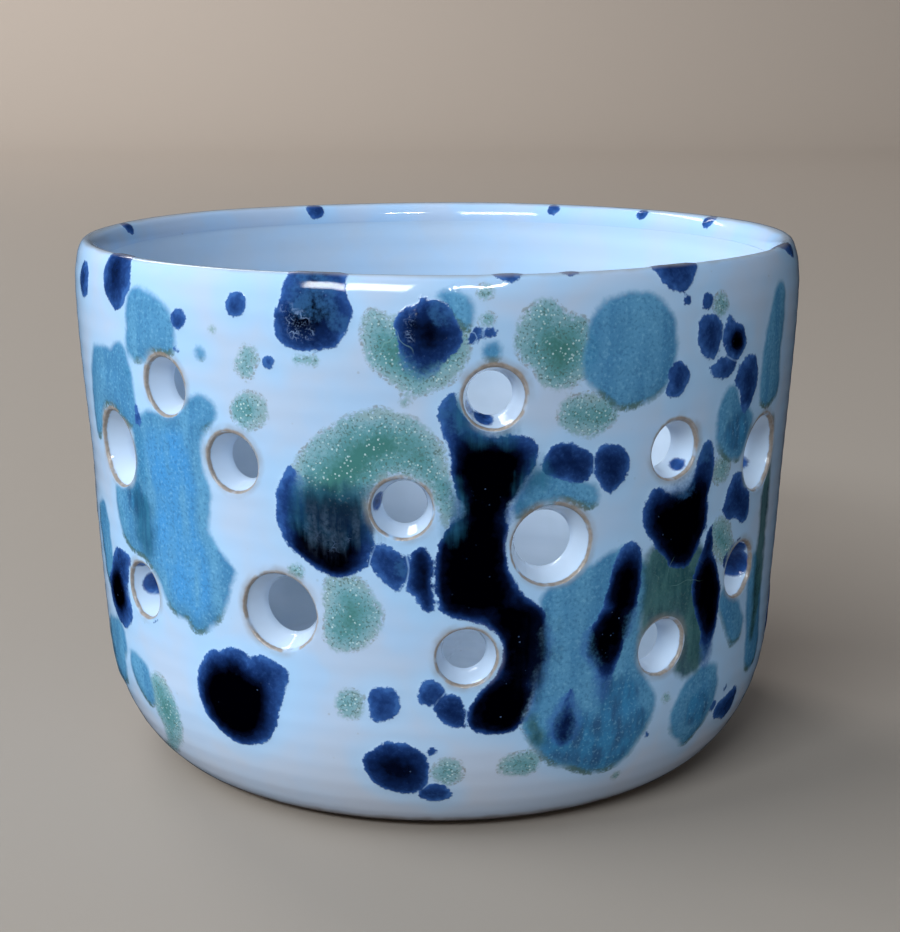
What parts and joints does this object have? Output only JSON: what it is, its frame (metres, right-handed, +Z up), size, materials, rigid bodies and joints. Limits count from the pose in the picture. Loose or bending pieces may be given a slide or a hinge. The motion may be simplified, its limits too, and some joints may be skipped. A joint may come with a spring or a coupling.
{
  "type": "flower frog",
  "caption": "Open glazed stoneware pot with a rounded foot and a wall pierced all round by tapered holes that hold cut flower stems.",
  "frame": {"origin": "centre of the foot, on the surface that the pot stands on", "axes": "+Z up along the pot's axis of turning; -Y is the front"},
  "size_m": [0.11, 0.11, 0.079],
  "materials": {
    "bare_clay": "unglazed fired stoneware, matt and slightly sandy",
    "outer_glaze": "glossy milky white glaze with melted cobalt, turquoise and copper green drops",
    "liner_glaze": "glossy milky white glaze"
  },
  "bodies": {
    "root": {"clay_body": "bare_clay", "outer_glaze": "outer_glaze", "liner_glaze": "liner_glaze"}
  },
  "joints": []
}
